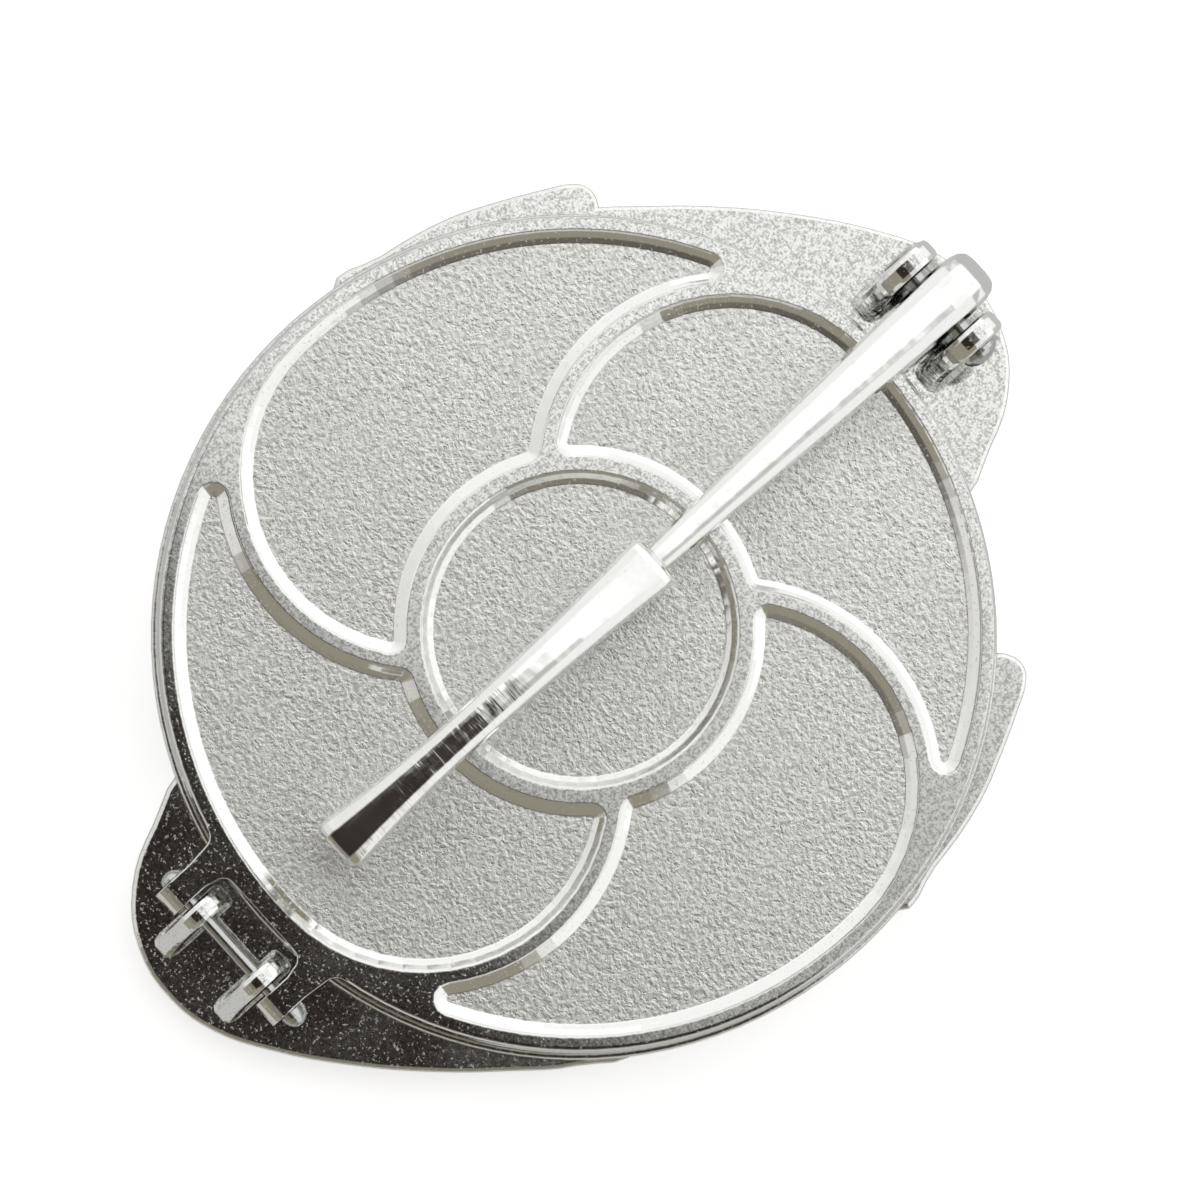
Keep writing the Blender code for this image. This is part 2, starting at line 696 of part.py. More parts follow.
def make_top_plate(parts, tools, material):
    """The top plate casting: disc, hinge arms, swirl pockets, centre pocket and bore."""
    plate = plate_disc(parts)
    yoke = hinge_yoke(tools)
    combine(yoke, arm_end_trim(tools), 'DIFFERENCE')
    combine(plate, yoke, 'UNION')
    for index in range(SWIRL_COUNT):
        combine(plate, swirl_pocket(index, tools), 'DIFFERENCE')
    combine(plate, centre_pocket(tools), 'DIFFERENCE')
    bore = cross_bore("Arm bore", HINGE_PIN_RADIUS, HINGE_REACH, HINGE_HEIGHT, ARM_OUTER + OVERRUN, tools)
    combine(plate, bore, 'DIFFERENCE')
    shade(plate, material)
    return plate


def lever_ring(distance, width, bottom, depth):
    """Section of the lever at a distance from its pivot, with its heights given from the pivot too."""
    right = [(width / 2 * across, bottom + depth * up - PIVOT_HEIGHT) for across, up in SECTION_SHARES]
    left = [(-x, z) for x, z in reversed(right)]
    return [(x, distance, z) for x, z in right + left]


def nose_rings():
    """Sections of the head's rounded nose, from its tip towards the pivot."""
    rings = []
    for share in NOSE_SHARES:
        half = LEVER_HEAD_RADIUS * math.sqrt(1 - share ** 2)
        width = LEVER_HEAD_WIDTH * math.sqrt(math.sqrt(1 - share ** 4))
        rings.append(lever_ring(-LEVER_NOSE * share, width, PIVOT_HEIGHT - half, 2 * half))
    return rings


def bar_rings():
    """Sections from the pivot over the head's round heel and along the tapered bar to the neck."""
    head_top = PIVOT_HEIGHT + LEVER_HEAD_RADIUS
    distances = [LEVER_HEAD_RADIUS * share for share in HEEL_SHARES]
    distances += [LEVER_PAD_END, mix(LEVER_PAD_END, LEVER_NECK, 0.5), LEVER_NECK]
    rings = []
    for distance in distances:
        share = distance / LEVER_NECK
        heel = PIVOT_HEIGHT - math.sqrt(max(0, LEVER_HEAD_RADIUS ** 2 - distance ** 2))
        rise = max(0, distance - LEVER_PAD_END) / (LEVER_NECK - LEVER_PAD_END)
        bottom = min(heel, LEVER_BOTTOM) + LEVER_NECK_RISE * rise
        top = mix(head_top, LEVER_BOTTOM + LEVER_NECK_RISE + LEVER_NECK_DEPTH, share)
        width = mix(LEVER_HEAD_WIDTH, LEVER_NECK_WIDTH, share)
        rings.append(lever_ring(distance, width, bottom, top - bottom))
    return rings


def grip_centre(share):
    """Height of the grip's middle, which climbs to a crest and droops a little towards the end."""
    crest = LEVER_BOTTOM + LEVER_NECK_RISE + LEVER_NECK_DEPTH / 2 + GRIP_CREST_RISE
    if share < GRIP_CREST_SHARE:
        return crest - GRIP_CREST_RISE * (1 - share / GRIP_CREST_SHARE) ** 2
    return crest - GRIP_END_DROP * ((share - GRIP_CREST_SHARE) / (1 - GRIP_CREST_SHARE)) ** 2


def grip_rings():
    """Sections of the grip, with squared shoulders, a waist and a flared end."""
    length = LEVER_LENGTH - LEVER_NECK
    shoulder = GRIP_SHOULDER / length
    shares = [(shoulder * place, draw) for place, draw in SHOULDER_SHARES]
    body_steps = 12
    for step in range(1, body_steps):
        shares.append((mix(shoulder, 1 - shoulder, step / body_steps), 1))
    shares += [(1 - shoulder * place, draw) for place, draw in reversed(SHOULDER_SHARES)]
    rings = []
    for share, draw in shares:
        if share < GRIP_WAIST_SHARE:
            swell = (1 - share / GRIP_WAIST_SHARE) ** 2
            width = mix(GRIP_WAIST_WIDTH, GRIP_WIDTH, swell)
        else:
            swell = ((share - GRIP_WAIST_SHARE) / (1 - GRIP_WAIST_SHARE)) ** 2
            width = mix(GRIP_WAIST_WIDTH, GRIP_END_WIDTH, swell)
        depth = draw * mix(GRIP_WAIST_DEPTH, GRIP_DEPTH, swell)
        bottom = grip_centre(share) - depth / 2
        rings.append(lever_ring(LEVER_NECK + length * share, width * draw, bottom, depth))
    return rings


def make_lever(parts, tools, material):
    """The lever casting: bored head, tapered bar and waisted grip. It turns about its own origin."""
    lever = loft("lever", nose_rings() + bar_rings() + grip_rings(), parts)
    lever.location = (0, -PIVOT_REACH, PIVOT_HEIGHT)
    half = LEVER_HEAD_WIDTH / 2 + OVERRUN
    bore = cross_bore("Lever bore", PIVOT_PIN_RADIUS, -PIVOT_REACH, PIVOT_HEIGHT, half, tools)
    combine(lever, bore, 'DIFFERENCE')
    shade(lever, material)
    return lever


def rivet(name, seat, pin_radius, head, tail, place, parts, material):
    """A rivet along X with its domed head at -X and its peened tail at +X, each clear of its seat."""
    head_radius, head_height = head
    tail_radius, tail_height = tail
    dome_steps = 5
    profile = [(0, seat + tail_height)]
    for step in range(1, dome_steps + 1):
        turn = math.radians(90) * step / dome_steps
        profile.append((tail_radius * math.sin(turn), seat + tail_height * math.cos(turn)))
    profile.append((pin_radius, seat))
    profile.append((pin_radius, -seat))
    for step in range(dome_steps, 0, -1):
        turn = math.radians(90) * step / dome_steps
        profile.append((head_radius * math.sin(turn), -seat - head_height * math.cos(turn)))
    profile.append((0, -seat - head_height))
    thing = turned(name, profile, PIN_STEPS, parts)
    thing.rotation_euler = (0, math.radians(90), 0)
    thing.location = place
    shade(thing, material)
    return thing


def make_rivets(parts, material):
    """The lever's pivot rivet and the plate's hinge rivet."""
    rivet("pivot_pin", CLEVIS_OUTER + SEAT_GAP, PIVOT_PIN_RADIUS, (PIVOT_HEAD_RADIUS, PIVOT_HEAD_HEIGHT),
          (PIVOT_TAIL_RADIUS, PIVOT_TAIL_HEIGHT), (0, -PIVOT_REACH, PIVOT_HEIGHT), parts, material)
    rivet("hinge_pin", ARM_OUTER + SEAT_GAP, HINGE_PIN_RADIUS, (HINGE_HEAD_RADIUS, HINGE_HEAD_HEIGHT),
          (HINGE_TAIL_RADIUS, HINGE_TAIL_HEIGHT), (0, HINGE_REACH, HINGE_HEIGHT), parts, material)


def main():
    """Build the press."""
    clear_scene()
    parts = new_collection("tortilla_press")
    tools = new_collection("cutters")
    cast = new_material("Cast aluminium", (0.80, 0.80, 0.78), 0.28, 1.0)
    polished = new_material("Polished cast aluminium", (0.86, 0.86, 0.85), 0.16, 1.0)
    steel = new_material("Zinc plated steel", (0.72, 0.73, 0.74), 0.22, 1.0)
    make_base(parts, tools, cast)
    make_top_plate(parts, tools, cast)
    make_lever(parts, tools, polished)
    make_rivets(parts, steel)


main()
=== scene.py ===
"""Finish, floor, light and camera for a cast aluminium dough press with a long hand lever."""

import math

import bmesh
import bpy
from mathutils import Matrix, Vector


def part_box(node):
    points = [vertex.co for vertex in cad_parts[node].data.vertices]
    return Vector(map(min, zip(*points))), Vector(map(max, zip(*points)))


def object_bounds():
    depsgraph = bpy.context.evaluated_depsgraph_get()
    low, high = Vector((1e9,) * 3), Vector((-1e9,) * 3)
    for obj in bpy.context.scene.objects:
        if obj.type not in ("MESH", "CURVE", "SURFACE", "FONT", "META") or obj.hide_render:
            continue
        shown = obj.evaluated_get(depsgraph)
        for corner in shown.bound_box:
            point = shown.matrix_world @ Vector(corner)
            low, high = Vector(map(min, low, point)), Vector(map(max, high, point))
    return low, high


bl_info = {
    "name": "Dough press finish",
    "version": (1, 0, 0),
    "blender": (4, 5, 0),
    "location": "View3D > Sidebar > Dough press",
    "description": "Gives the castings and pins of a dough press their finish, floor, light and camera",
    "category": "Material",
}

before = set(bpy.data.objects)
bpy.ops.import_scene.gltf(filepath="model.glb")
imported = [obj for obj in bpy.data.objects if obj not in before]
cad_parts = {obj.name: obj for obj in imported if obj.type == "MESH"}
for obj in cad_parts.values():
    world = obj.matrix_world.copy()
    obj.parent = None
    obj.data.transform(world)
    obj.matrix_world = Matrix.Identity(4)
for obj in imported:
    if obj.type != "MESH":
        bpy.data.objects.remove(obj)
CAD_LOW, CAD_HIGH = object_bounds()
PLATE_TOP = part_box("top_plate")[1].z

# Camera, in pixels of the photograph, millimetres of sensor and metres of clipping
PHOTO_PIXELS = 1200
SENSOR_WIDTH = 36.0
NEAR_CLIP = 0.01
FAR_CLIP = 50.0

WHITE = (1.0, 1.0, 1.0, 1.0)
BLACK = (0.0, 0.0, 0.0, 1.0)

# Sockets of a Mix node that blends colours, by number because their names repeat
MIX_FIRST = 6
MIX_SECOND = 7
MIX_RESULT = 2

# Rays that the corner and edge tests send out from each point
CORNER_RAYS = 8
EDGE_RAYS = 6

# Detail and roughness of each kind of noise
SOFT_NOISE = (2.0, 0.5)
DIMPLE_NOISE = (2.0, 0.55)
SAND_NOISE = (3.0, 0.6)
PIT_NOISE = (1.0, 0.5)
GRAIN_NOISE = (3.0, 0.7)
MARK_NOISE = (2.0, 0.6)
WEAR_NOISE = (3.0, 0.55)

# Ranges of a noise over which a mark fades in
MIDDLE_RANGE = (0.3, 0.7)
TONE_RANGE = (0.40, 0.57)
PIT_RANGE = (0.62, 0.74)
GRAIN_RANGE = (0.61, 0.69)
SPECK_RANGE = (0.6, 0.72)
CROSS_RANGE = (0.4, 0.65)

# Share of a point's surroundings that is open, from a slot to an open face
OPEN_RANGE = (0.30, 0.85)
# Strength of the painted shade that darkens slots and corners
RECESS_SHADE_SHARE = 0.75

# Cast skin: shares of its heights and tones, spread of its roughness, and lengths in metres
PEEL_HEIGHT = 0.75
SAND_HEIGHT = 0.35
PIT_HEIGHT = 0.25
SAND_TONE = 0.6
PEEL_TONE = 0.4
PIT_TONE = 0.6
CAST_ROUGH_SPREAD = 0.04
SMOOTH_ROUGH_LESS = 0.02
SMOOTH_ROUGH_MORE = 0.03
SKIN_STEP = 0.0002
RAISED_DEPTH = 0.0008

# Lever: stretch of its marks across, along and up, shares, spread, and a length in metres
MARK_STRETCH = (1.0, 0.05, 1.0)
CROSS_STRETCH = (0.16, 1.0, 0.16)
CROSS_FADE = 0.012
SPECK_TONE = 0.15
MARK_HEIGHT = 0.02
LEVER_ROUGH_SPREAD = 0.05

# Pins: wander of the rings in radians, shares of the heights, and spread of the roughness
RING_WANDER = 1.5
RING_HEIGHT = 0.2
PLATING_HEIGHT = 0.5
PIN_ROUGH_LESS = 0.04
PIN_ROUGH_MORE = 0.08

# Room: a place in it is its reach over its height, towards the press's rear and left.
# Each wall or dim part is named with the share of rear, left or right in its direction.
LEAST_HEIGHT = 0.02
LEAST_REACH = 0.02
TAN_REAR = 0.866
TAN_RIGHT = 0.5
TAN_RANGE = (0.50, 0.68)
SIDE_REAR = 0.741
SIDE_LEFT = 0.672
SIDE_RANGE = (0.5, 1.0)
SIDE_SHARE = 0.3
DIM_RIGHT = 0.7
DIM_RANGE = (-0.24, 0.03)
WALL_RANGE = (0.35, 1.2)
CARD_REACH_RANGE = (0.7, 1.3)
CARD_LEFT_RANGE = (0.3, 0.7)


class Wire:
    """A node socket that can be used in a sum."""

    def __init__(self, sheet, socket):
        self.sheet = sheet
        self.socket = socket

    def __add__(self, other):
        return self.sheet.maths("ADD", self, other)

    def __radd__(self, other):
        return self.sheet.maths("ADD", other, self)

    def __sub__(self, other):
        return self.sheet.maths("SUBTRACT", self, other)

    def __rsub__(self, other):
        return self.sheet.maths("SUBTRACT", other, self)

    def __mul__(self, other):
        return self.sheet.maths("MULTIPLY", self, other)

    def __rmul__(self, other):
        return self.sheet.maths("MULTIPLY", other, self)

    def __truediv__(self, other):
        return self.sheet.maths("DIVIDE", self, other)

    def __rtruediv__(self, other):
        return self.sheet.maths("DIVIDE", other, self)

    def __pow__(self, other):
        return self.sheet.maths("POWER", self, other)

    def __rpow__(self, other):
        return self.sheet.maths("POWER", other, self)

    def __abs__(self):
        return self.sheet.maths("ABSOLUTE", self)

    def part(self, axis):
        """One axis of a vector."""
        node = self.sheet.node("ShaderNodeSeparateXYZ", {}, {"Vector": self})
        return node.out(axis)

    def ramp(self, low, high, start=0.0, end=1.0):
        """Runs smoothly from start to end while this value runs from low to high."""
        node = self.sheet.node(
            "ShaderNodeMapRange",
            {"interpolation_type": "SMOOTHSTEP"},
            {"Value": self, "From Min": low, "From Max": high, "To Min": start, "To Max": end},
        )
        return node.out("Result")

    def fade(self, low, high):
        """Runs smoothly from 1 to 0 while this value runs from low to high."""
        return self.ramp(low, high, 1.0, 0.0)


class PlacedNode:
    """A node in a sheet, asked for its outputs by name or number."""

    def __init__(self, sheet, node):
        self.sheet = sheet
        self.node = node

    def out(self, name):
        """The wire from one of the node's outputs."""
        return Wire(self.sheet, self.node.outputs[name])


class Sheet:
    """The node tree of one material or of the world."""

    def __init__(self, tree):
        self.tree = tree
        tree.nodes.clear()

    def node(self, kind, settings, sockets):
        """Adds a node, sets its settings, then gives its sockets their wires or values."""
        made = self.tree.nodes.new(kind)
        for name, value in settings.items():
            setattr(made, name, value)
        for name, value in sockets.items():
            if isinstance(value, Wire):
                self.tree.links.new(value.socket, made.inputs[name])
            else:
                made.inputs[name].default_value = value
        return PlacedNode(self, made)

    def maths(self, operation, *values):
        """The result of one step of arithmetic on wires or numbers."""
        return self.node("ShaderNodeMath", {"operation": operation}, dict(enumerate(values))).out("Value")

    def place(self):
        """The point on the piece, in its own frame, in metres."""
        return self.node("ShaderNodeTexCoord", {}, {}).out("Object")

    def facing(self):
        """The surface direction in the piece's own frame."""
        return self.node("ShaderNodeTexCoord", {}, {}).out("Normal")

    def noise(self, point, grain, character):
        """A noise whose grains are about as wide as the given size, with its detail and roughness."""
        detail, rough = character
        sockets = {"Vector": point, "Scale": 1.0 / grain, "Detail": detail, "Roughness": rough}
        return self.node("ShaderNodeTexNoise", {"normalize": True}, sockets).out("Fac")

    def stretched(self, point, scale):
        """The point with each axis multiplied, for streaks."""
        sockets = {0: point, 1: scale}
        return self.node("ShaderNodeVectorMath", {"operation": "MULTIPLY"}, sockets).out("Vector")

    def blend(self, share, first, second):
        """A colour that goes from the first to the second as the share goes from 0 to 1."""
        sockets = {"Factor": share, MIX_FIRST: first, MIX_SECOND: second}
        return self.node("ShaderNodeMix", {"data_type": "RGBA"}, sockets).out(MIX_RESULT)

    def choose(self, share, first, second):
        """A shader that goes from the first to the second as the share goes from 0 to 1."""
        return self.node("ShaderNodeMixShader", {}, {0: share, 1: first, 2: second}).out("Shader")

    def seen_directly(self):
        """1 where the camera itself looks, 0 in reflections and for light."""
        return self.node("ShaderNodeLightPath", {}, {}).out("Is Camera Ray")

    def hollow(self, reach):
        """How closed in a point is, from 0 in the open to 1 in a slot or corner."""
        corners = self.node("ShaderNodeAmbientOcclusion", {"samples": CORNER_RAYS}, {"Distance": reach})
        return corners.out("AO").fade(*OPEN_RANGE)

    def bump(self, height, depth, edge_round):
        """The surface direction with its relief, and with softly rounded edges."""
        edges = self.node("ShaderNodeBevel", {"samples": EDGE_RAYS}, {"Radius": edge_round}).out("Normal")
        sockets = {"Height": height, "Distance": depth, "Strength": 1.0, "Normal": edges}
        return self.node("ShaderNodeBump", {}, sockets).out("Normal")


def colour(values):
    """A red, green and blue as an opaque colour."""
    return (values[0], values[1], values[2], 1.0)


def new_material(name):
    """An empty material and its sheet."""
    material = bpy.data.materials.new(name)
    material.use_nodes = True
    return material, Sheet(material.node_tree)


def close_metal(sheet, tint, roughness, normal):
    """Joins the worked out tint, roughness and normal to a metal surface."""
    surface = sheet.node(
        "ShaderNodeBsdfPrincipled",
        {},
        {"Base Color": tint, "Roughness": roughness, "Metallic": 1.0, "Normal": normal},
    )
    sheet.node("ShaderNodeOutputMaterial", {}, {"Surface": surface.out("BSDF")})


def dress(node_name, material):
    """Gives a piece of the frame its material."""
    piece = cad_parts[node_name]
    piece.data.materials.clear()
    piece.data.materials.append(material)


def cast_skin(name, settings, raised_level):
    """Sand cast aluminium, coarse on flat faces below the raised level and smoother elsewhere."""
    material, sheet = new_material(name)
    point = sheet.place()
    upright = abs(sheet.facing().part("Z"))
    sunken = point.part("Z").fade(raised_level - SKIN_STEP, raised_level)
    coarse = upright.ramp(settings.buffed_slope, settings.cast_slope) * sunken
    peel = sheet.noise(point, settings.peel_size, DIMPLE_NOISE)
    sand = sheet.noise(point, settings.sand_size, SAND_NOISE)
    patches = sheet.noise(point, settings.patch_size, SOFT_NOISE)
    pits = sheet.noise(point, settings.pit_size, PIT_NOISE).ramp(*PIT_RANGE)
    grains = sheet.noise(point, settings.grain_size, GRAIN_NOISE).ramp(*GRAIN_RANGE)
    coarse_height = peel * PEEL_HEIGHT + sand * SAND_HEIGHT - pits * PIT_HEIGHT
    smooth_height = peel * settings.smooth_peel + grains * settings.smooth_grain
    height = coarse_height * coarse + smooth_height * (1.0 - coarse)
    light_and_dark = (sand * SAND_TONE + peel * PEEL_TONE).ramp(*TONE_RANGE)
    cast = sheet.blend(light_and_dark, colour(settings.dark_grain), colour(settings.light_grain))
    cast = sheet.blend(pits * PIT_TONE, cast, colour(settings.pit_colour))
    smooth = sheet.blend(light_and_dark, colour(settings.smooth_dark), colour(settings.smooth_light))
    # Painted highlight: sloped walls turn near-white, partly for their buffed finish and partly as painted
    # sheen where they catch the bright room
    painted_wall_sheen = upright.fade(settings.bright_slope, settings.flat_slope)
    smooth = sheet.blend(painted_wall_sheen, smooth, colour(settings.buffed_sheen_colour))
    tint = sheet.blend(coarse, smooth, cast)
    # Painted shade: the metal is darkened in slots and corners, where shade falls
    recess_shade = sheet.hollow(settings.recess_shade_reach) * RECESS_SHADE_SHARE
    tint = sheet.blend(recess_shade, tint, colour(settings.recess_shade_colour))
    least = settings.cast_roughness - CAST_ROUGH_SPREAD
    most = settings.cast_roughness + CAST_ROUGH_SPREAD
    cast_rough = patches.ramp(*MIDDLE_RANGE, least, most)
    least = settings.smooth_roughness - SMOOTH_ROUGH_LESS
    most = settings.smooth_roughness + SMOOTH_ROUGH_MORE
    smooth_rough = patches.ramp(*MIDDLE_RANGE, least, most)
    roughness = cast_rough * coarse + (1.0 - coarse) * smooth_rough
    close_metal(sheet, tint, roughness, sheet.bump(height, settings.skin_depth, settings.edge_round))
    return material


def buffed_lever(name, settings):
    """Polished casting with soft ripples, cross marks on the grip and fine marks along the bar."""
    material, sheet = new_material(name)
    point = sheet.place()
    streaks = sheet.noise(sheet.stretched(point, MARK_STRETCH), settings.mark_size, SAND_NOISE)
    ripples = sheet.noise(point, settings.ripple_size, SOFT_NOISE)
    cross = sheet.noise(sheet.stretched(point, CROSS_STRETCH), settings.cross_size, MARK_NOISE)
    worked = point.part("Y").ramp(settings.cross_start, settings.cross_start + CROSS_FADE)
    specks = sheet.noise(point, settings.speck_size, MARK_NOISE).ramp(*SPECK_RANGE)
    tint = sheet.blend(streaks, colour(settings.lever_dark), colour(settings.lever_light))
    tint = sheet.blend(specks * SPECK_TONE, tint, colour(settings.speck_colour))
    # Painted shade: the metal is darkened in slots and corners, where shade falls
    recess_shade = sheet.hollow(settings.recess_shade_reach) * RECESS_SHADE_SHARE
    tint = sheet.blend(recess_shade, tint, colour(settings.recess_shade_colour))
    most = settings.lever_roughness + LEVER_ROUGH_SPREAD
    rough = streaks.ramp(*MIDDLE_RANGE, settings.lever_roughness, most)
    cross_marks = cross.ramp(*CROSS_RANGE) * worked * settings.cross_depth
    height = ripples + streaks * MARK_HEIGHT + cross_marks
    close_metal(sheet, tint, rough, sheet.bump(height, settings.ripple_depth, settings.edge_round))
    return material


def turned_steel(name, settings, axis_height, axis_reach):
    """Plated steel with fine rings round the pin's own axis."""
    material, sheet = new_material(name)
    point = sheet.place()
    across = point.part("Y") - axis_reach
    up = point.part("Z") - axis_height
    radius = (across * across + up * up) ** 0.5
    wear = sheet.noise(point, settings.wear_size, WEAR_NOISE)
    rings = sheet.maths("SINE", radius * settings.ring_turns + wear * RING_WANDER)
    fine = sheet.noise(point, settings.ring_grain, MARK_NOISE)
    tint = sheet.blend(wear, colour(settings.pin_dark), colour(settings.pin_light))
    least = settings.pin_roughness - PIN_ROUGH_LESS
    most = settings.pin_roughness + PIN_ROUGH_MORE
    rough = wear.ramp(*MIDDLE_RANGE, least, most)
    height = rings * RING_HEIGHT + fine * PLATING_HEIGHT
    close_metal(sheet, tint, rough, sheet.bump(height, settings.ring_depth, settings.edge_round))
    return material


class CastingSettings(bpy.types.PropertyGroup):
    """Sizes and colours of the cast skin."""

    peel_size: bpy.props.FloatProperty(
        name="Peel size", description="Width of the soft dimples", default=0.0013, unit="LENGTH")
    sand_size: bpy.props.FloatProperty(
        name="Sand size", description="Width of the sand grains", default=0.0006, unit="LENGTH")
    pit_size: bpy.props.FloatProperty(
        name="Pit size", description="Width of the small pits", default=0.0011, unit="LENGTH")
    grain_size: bpy.props.FloatProperty(
        name="Grain size", description="Width of the grains on raised faces",
        default=0.0008, unit="LENGTH")
    patch_size: bpy.props.FloatProperty(
        name="Patch size", description="Width of duller and brighter patches", default=0.02, unit="LENGTH")
    skin_depth: bpy.props.FloatProperty(
        name="Skin depth", description="Depth of the cast texture", default=0.00029, unit="LENGTH")
    smooth_peel: bpy.props.FloatProperty(
        name="Smooth peel", description="Share of the dimples left on raised faces",
        default=0.025, subtype="FACTOR")
    smooth_grain: bpy.props.FloatProperty(
        name="Smooth grain", description="Height of the grains on raised faces, as a share of the skin depth",
        default=0.11, subtype="FACTOR")
    edge_round: bpy.props.FloatProperty(
        name="Edge round", description="Radius of the softened edges", default=0.0005, unit="LENGTH")
    cast_slope: bpy.props.FloatProperty(
        name="Cast slope", description="Uprightness above which a face keeps its cast skin",
        default=0.985, subtype="FACTOR")
    buffed_slope: bpy.props.FloatProperty(
        name="Buffed slope", description="Uprightness below which a face is smoother",
        default=0.93, subtype="FACTOR")
    # Sloped walls: a buffed finish, plus a painted highlight in their colour
    bright_slope: bpy.props.FloatProperty(
        name="Bright slope", description="Uprightness below which a wall is buffed bright",
        default=0.90, subtype="FACTOR")
    flat_slope: bpy.props.FloatProperty(
        name="Flat slope", description="Uprightness above which a raised face is plain",
        default=0.97, subtype="FACTOR")
    buffed_sheen_colour: bpy.props.FloatVectorProperty(
        name="Buffed sheen colour", description="Colour of the buffed walls",
        default=(0.93, 0.93, 0.92), subtype="COLOR")
    cast_roughness: bpy.props.FloatProperty(
        name="Cast roughness", description="Roughness of the cast skin", default=0.40, subtype="FACTOR")
    smooth_roughness: bpy.props.FloatProperty(
        name="Smooth roughness", description="Roughness of raised and sloped faces",
        default=0.09, subtype="FACTOR")
    dark_grain: bpy.props.FloatVectorProperty(
        name="Dark grain", description="Darker grains", default=(0.70, 0.695, 0.67), subtype="COLOR")
    light_grain: bpy.props.FloatVectorProperty(
        name="Light grain", description="Lighter grains", default=(0.95, 0.95, 0.93), subtype="COLOR")
    pit_colour: bpy.props.FloatVectorProperty(
        name="Pit colour", description="Colour in the pits", default=(0.5, 0.49, 0.46), subtype="COLOR")
    # Painted shade in slots and corners: how far it reaches and its colour
    recess_shade_reach: bpy.props.FloatProperty(
        name="Recess shade reach", description="How far from a corner the metal is darker",
        default=0.0018, unit="LENGTH")
    recess_shade_colour: bpy.props.FloatVectorProperty(
        name="Recess shade colour", description="Colour of the metal in slots and corners",
        default=(0.16, 0.15, 0.11), subtype="COLOR")
    smooth_dark: bpy.props.FloatVectorProperty(
        name="Smooth dark", description="Darker grains of the smoother metal",
        default=(0.42, 0.42, 0.405), subtype="COLOR")
    smooth_light: bpy.props.FloatVectorProperty(
        name="Smooth light", description="Lighter grains of the smoother metal",
        default=(0.76, 0.76, 0.745), subtype="COLOR")


class LeverSettings(bpy.types.PropertyGroup):
    """Sizes and colours of the polished lever."""

    mark_size: bpy.props.FloatProperty(
        name="Mark size", description="Width of the polishing marks", default=0.0008, unit="LENGTH")
    ripple_size: bpy.props.FloatProperty(
        name="Ripple size", description="Width of the soft ripples", default=0.009, unit="LENGTH")
    ripple_depth: bpy.props.FloatProperty(
        name="Ripple depth", description="Depth of the ripples", default=0.0003, unit="LENGTH")
    cross_size: bpy.props.FloatProperty(
        name="Cross size", description="Width of the marks across the grip", default=0.0012, unit="LENGTH")
    cross_depth: bpy.props.FloatProperty(
        name="Cross depth", description="Depth of the marks across the grip, as a share of the ripples",
        default=0.03, subtype="FACTOR")
    cross_start: bpy.props.FloatProperty(
        name="Cross start", description="Where the cross marks start along the press",
        default=0.014, unit="LENGTH")
    speck_size: bpy.props.FloatProperty(
        name="Speck size", description="Width of the small specks", default=0.0012, unit="LENGTH")
    edge_round: bpy.props.FloatProperty(
        name="Edge round", description="Radius of the softened edges", default=0.0008, unit="LENGTH")
    lever_roughness: bpy.props.FloatProperty(
        name="Lever roughness", description="Roughness of the polish", default=0.08, subtype="FACTOR")
    # Painted shade in slots and corners: how far it reaches and its colour
    recess_shade_reach: bpy.props.FloatProperty(
        name="Recess shade reach", description="How far from a corner the metal is darker",
        default=0.0030, unit="LENGTH")
    recess_shade_colour: bpy.props.FloatVectorProperty(
        name="Recess shade colour", description="Colour of the metal in slots and corners",
        default=(0.16, 0.15, 0.11), subtype="COLOR")
    lever_dark: bpy.props.FloatVectorProperty(
        name="Lever dark", description="Duller streaks", default=(0.84, 0.84, 0.83), subtype="COLOR")
    lever_light: bpy.props.FloatVectorProperty(
        name="Lever light", description="Brighter streaks", default=(0.93, 0.93, 0.92), subtype="COLOR")
    speck_colour: bpy.props.FloatVectorProperty(
        name="Speck colour", description="Colour of the specks", default=(0.5, 0.49, 0.47), subtype="COLOR")


class PinSettings(bpy.types.PropertyGroup):
    """Sizes and colours of the two rivets."""

    wear_size: bpy.props.FloatProperty(
        name="Wear size", description="Width of worn patches", default=0.003, unit="LENGTH")
    ring_turns: bpy.props.FloatProperty(
        name="Ring turns", description="How close the turned rings lie, in radians per metre",
        default=12000.0)
    ring_grain: bpy.props.FloatProperty(
        name="Ring grain", description="Width of the plated grain", default=0.0004, unit="LENGTH")
    ring_depth: bpy.props.FloatProperty(
        name="Ring depth", description="Depth of the rings", default=0.00004, unit="LENGTH")
    edge_round: bpy.props.FloatProperty(
        name="Edge round", description="Radius of the softened edges", default=0.0003, unit="LENGTH")
    pin_roughness: bpy.props.FloatProperty(
        name="Pin roughness", description="Roughness of the plating", default=0.2, subtype="FACTOR")
    pin_dark: bpy.props.FloatVectorProperty(
        name="Pin dark", description="Worn plating", default=(0.48, 0.49, 0.49), subtype="COLOR")
    pin_light: bpy.props.FloatVectorProperty(
        name="Pin light", description="Fresh plating", default=(0.70, 0.71, 0.71), subtype="COLOR")


